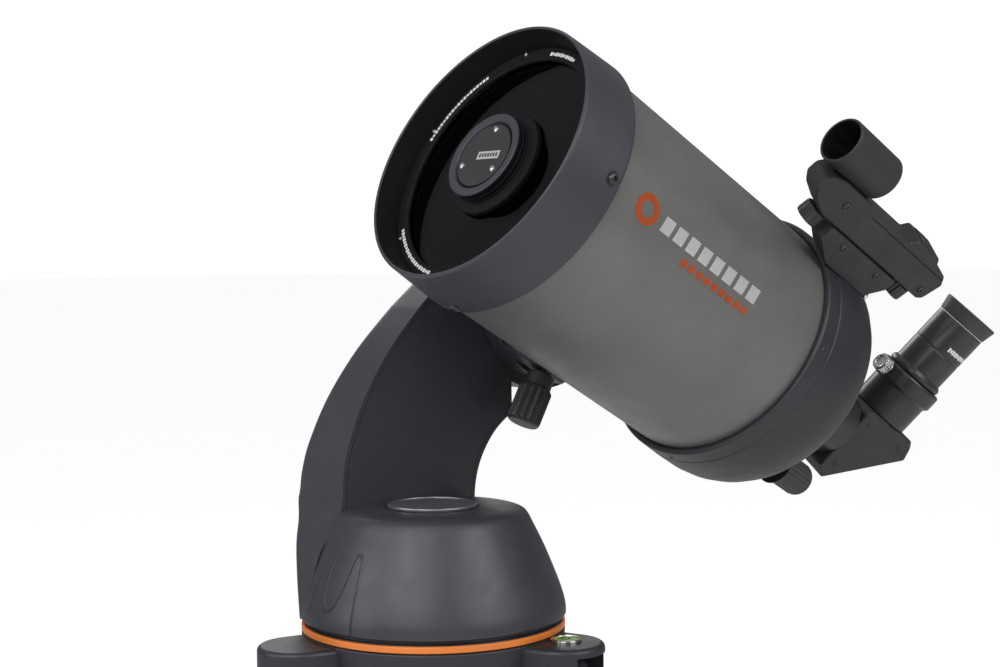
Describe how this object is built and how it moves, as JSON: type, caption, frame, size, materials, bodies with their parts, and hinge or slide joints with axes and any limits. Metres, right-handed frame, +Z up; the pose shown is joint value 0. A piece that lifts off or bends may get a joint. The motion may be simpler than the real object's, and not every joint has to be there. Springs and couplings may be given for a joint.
{
  "type": "schmidt cassegrain telescope",
  "caption": "Short catadioptric telescope on a single-arm mount with a domed base, red-dot finder, star diagonal and eyepiece, standing on a folding tripod.",
  "frame": {"origin": "on the floor, under the middle of the whole object's box", "axes": "+Z up; the tube points towards -X and up; the arm stands on the tube's +Y side"},
  "size_m": [0.6792, 0.6009, 0.9665],
  "materials": {
    "gunmetal_paint": "satin gunmetal paint",
    "charcoal_paint": "satin charcoal paint",
    "charcoal_plastic": "satin",
    "black_plastic": "matte",
    "orange_plastic": "satin",
    "grey_plastic": "satin",
    "optical_glass": "clear",
    "mirror_coating": "polished",
    "steel": "brushed",
    "chrome": "polished",
    "aluminium": "machined",
    "brass": "machined",
    "rubber": "matte",
    "level_fluid": "clear"
  },
  "bodies": {
    "tripod_head": {"tripod_hub": "charcoal_paint", "base_plate": "charcoal_paint", "trim_ring": "orange_plastic", "azimuth_gear": "brass", "bubble_level": "level_fluid"},
    "mount": {"arm_shell": "charcoal_plastic", "arm_cover": "charcoal_plastic", "base_dome": "charcoal_plastic", "base_floor": "black_plastic", "battery_pack": "black_plastic"},
    "optical_tube": {"main_tube": "gunmetal_paint", "front_cell": "charcoal_paint", "retaining_ring": "black_plastic", "corrector_plate": "optical_glass", "secondary_holder": "black_plastic", "secondary_mirror": "mirror_coating", "baffle_tube": "aluminium", "rear_cell": "charcoal_paint", "visual_back": "charcoal_paint", "dovetail_bar": "charcoal_paint", "saddle": "charcoal_paint", "altitude_shaft": "steel", "altitude_gear": "brass", "finder_bracket": "black_plastic", "finder_body": "black_plastic", "finder_hood": "black_plastic", "finder_window": "optical_glass"},
    "focus_mirror": {"primary_mirror": "mirror_coating", "mirror_carrier": "aluminium"},
    "focus_knob": {"focus_knob": "rubber"},
    "saddle_knob": {"saddle_knob": "rubber"},
    "battery_cover": {"battery_cover": "grey_plastic"},
    "visual_back_screw": {"visual_back_screw": "chrome"},
    "diagonal": {"diagonal_body": "black_plastic", "diagonal_nose": "chrome", "diagonal_mirror": "mirror_coating", "eyepiece_holder": "charcoal_plastic"},
    "holder_screw": {"holder_screw": "chrome"},
    "eyepiece": {"eyepiece_body": "charcoal_plastic", "eyecup": "rubber"},
    "finder_front_knob": {"finder_front_knob": "rubber"},
    "finder_rear_knob": {"finder_rear_knob": "rubber"},
    "finder_switch": {"finder_switch": "rubber"},
    "mount_bolt": {"mount_bolt": "rubber"},
    "strut_bracket": {"strut_bracket": "charcoal_plastic"},
    "leg_1": {"upper_leg_1": "steel"},
    "leg_1_lower": {"lower_leg_1": "steel", "foot_1": "rubber"},
    "leg_1_lock": {"leg_lock_knob_1": "rubber"},
    "strut_1": {"strut_1": "steel"},
    "leg_2": {"upper_leg_2": "steel"},
    "leg_2_lower": {"lower_leg_2": "steel", "foot_2": "rubber"},
    "leg_2_lock": {"leg_lock_knob_2": "rubber"},
    "strut_2": {"strut_2": "steel"},
    "leg_3": {"upper_leg_3": "steel"},
    "leg_3_lower": {"lower_leg_3": "steel", "foot_3": "rubber"},
    "leg_3_lock": {"leg_lock_knob_3": "rubber"},
    "strut_3": {"strut_3": "steel"}
  },
  "joints": [
    {"name": "azimuth_turn", "type": "hinge", "parent": "tripod_head", "child": "mount", "pos_m": [0.0045, 0.0287, 0.64], "axis": [0, 0, 1], "continuous": true},
    {"name": "altitude_turn", "type": "hinge", "parent": "mount", "child": "optical_tube", "pos_m": [0.1125, -0.0503, 0.824], "axis": [0, 1, 0], "range_deg": [-29.2, 45]},
    {"name": "focus_knob_turn", "type": "hinge", "parent": "optical_tube", "child": "focus_knob", "pos_m": [0.19712, -0.0673, 0.71714], "axis": [0.8729, 0, -0.4879], "range_deg": [-1080.5, 1080.5]},
    {"name": "mirror_slide", "type": "slide", "parent": "optical_tube", "child": "focus_mirror", "axis": [0.8729, 0, -0.4879], "range_m": [-0.0021, 0.0021]},
    {"name": "saddle_knob_turn", "type": "hinge", "parent": "optical_tube", "child": "saddle_knob", "pos_m": [0.08857, 0.0336, 0.77093], "axis": [-0.4879, 0, -0.8729], "continuous": true},
    {"name": "battery_cover_lift", "type": "slide", "parent": "mount", "child": "battery_cover", "axis": [0, 0, 1], "range_m": [0, 0.03]},
    {"name": "visual_back_screw_turn", "type": "hinge", "parent": "optical_tube", "child": "visual_back_screw", "pos_m": [0.24282, -0.02655, 0.76816], "axis": [0.2585, 0.848, 0.4626], "continuous": true},
    {"name": "diagonal_turn", "type": "hinge", "parent": "optical_tube", "child": "diagonal", "pos_m": [0.23471, -0.0503, 0.7557], "axis": [0.8729, 0, -0.4879], "range_deg": [-120, 120]},
    {"name": "eyepiece_slide", "type": "slide", "parent": "diagonal", "child": "eyepiece", "axis": [0.4137, -0.5299, 0.7403], "range_m": [0, 0.024]},
    {"name": "holder_screw_turn", "type": "hinge", "parent": "diagonal", "child": "holder_screw", "pos_m": [0.29884, -0.07542, 0.76591], "axis": [-0.8729, 0, 0.4879], "continuous": true},
    {"name": "finder_front_knob_turn", "type": "hinge", "parent": "optical_tube", "child": "finder_front_knob", "pos_m": [0.15599, -0.11327, 0.86696], "axis": [0.3327, -0.7314, 0.5953], "continuous": true},
    {"name": "finder_rear_knob_turn", "type": "hinge", "parent": "optical_tube", "child": "finder_rear_knob", "pos_m": [0.23071, -0.11327, 0.8252], "axis": [0.3327, -0.7314, 0.5953], "continuous": true},
    {"name": "finder_switch_turn", "type": "hinge", "parent": "optical_tube", "child": "finder_switch", "pos_m": [0.2403, -0.12114, 0.8436], "axis": [0.3568, 0.682, 0.6384], "range_deg": [0, 150]},
    {"name": "mount_bolt_turn", "type": "hinge", "parent": "tripod_head", "child": "mount_bolt", "pos_m": [0.0045, 0.0287, 0.6], "axis": [0, 0, 1], "continuous": true},
    {"name": "leg_1_fold", "type": "hinge", "parent": "tripod_head", "child": "leg_1", "pos_m": [0.05592, 0.08998, 0.618], "axis": [-0.766, 0.6428, 0], "range_deg": [0, 20]},
    {"name": "leg_1_extend", "type": "slide", "parent": "leg_1", "child": "leg_1_lower", "axis": [0.2408, 0.287, -0.9272], "range_m": [0, 0.36]},
    {"name": "leg_1_lock_turn", "type": "hinge", "parent": "leg_1", "child": "leg_1_lock", "pos_m": [0.1889, 0.24846, 0.18604], "axis": [0.596, 0.7103, 0.3746], "continuous": true},
    {"name": "strut_1_fold", "type": "hinge", "parent": "leg_1", "child": "strut_1", "pos_m": [0.11207, 0.1569, 0.32973], "axis": [-0.766, 0.6428, 0], "range_deg": [0, 30.19]},
    {"name": "leg_2_fold", "type": "hinge", "parent": "tripod_head", "child": "leg_2", "pos_m": [-0.07429, 0.04259, 0.618], "axis": [-0.1736, -0.9848, 0], "range_deg": [0, 20]},
    {"name": "leg_2_extend", "type": "slide", "parent": "leg_2", "child": "leg_2_lower", "axis": [-0.3689, 0.0651, -0.9272], "range_m": [0, 0.36]},
    {"name": "leg_2_lock_turn", "type": "hinge", "parent": "leg_2", "child": "leg_2_lock", "pos_m": [-0.27802, 0.07852, 0.18604], "axis": [-0.9131, 0.161, 0.3746], "continuous": true},
    {"name": "strut_2_fold", "type": "hinge", "parent": "leg_2", "child": "strut_2", "pos_m": [-0.16031, 0.05776, 0.32973], "axis": [-0.1736, -0.9848, 0], "range_deg": [0, 30.19]},
    {"name": "leg_3_fold", "type": "hinge", "parent": "tripod_head", "child": "leg_3", "pos_m": [0.03186, -0.04648, 0.618], "axis": [0.9397, 0.342, 0], "range_deg": [0, 20]},
    {"name": "leg_3_extend", "type": "slide", "parent": "leg_3", "child": "leg_3_lower", "axis": [0.1281, -0.352, -0.9272], "range_m": [0, 0.36]},
    {"name": "leg_3_lock_turn", "type": "hinge", "parent": "leg_3", "child": "leg_3_lock", "pos_m": [0.10262, -0.24088, 0.18604], "axis": [0.3171, -0.8713, 0.3746], "continuous": true},
    {"name": "strut_3_fold", "type": "hinge", "parent": "leg_3", "child": "strut_3", "pos_m": [0.06174, -0.12856, 0.32973], "axis": [0.9397, 0.342, 0], "range_deg": [0, 30.19]},
    {"name": "strut_bracket_slide", "type": "slide", "parent": "tripod_head", "child": "strut_bracket", "axis": [0, 0, 1], "range_m": [0, 0.0601]}
  ],
  "couplings": [
    {"joint": "focus_knob_turn", "follows": "mirror_slide", "rad_per_m": 8976},
    {"joint": "strut_1_fold", "follows": "leg_1_fold", "ratio": 1.5088},
    {"joint": "leg_2_fold", "follows": "leg_1_fold", "ratio": 1},
    {"joint": "strut_2_fold", "follows": "leg_1_fold", "ratio": 1.5088},
    {"joint": "leg_3_fold", "follows": "leg_1_fold", "ratio": 1},
    {"joint": "strut_3_fold", "follows": "leg_1_fold", "ratio": 1.5088},
    {"joint": "strut_bracket_slide", "follows": "leg_1_fold", "m_per_rad": 0.17188}
  ]
}
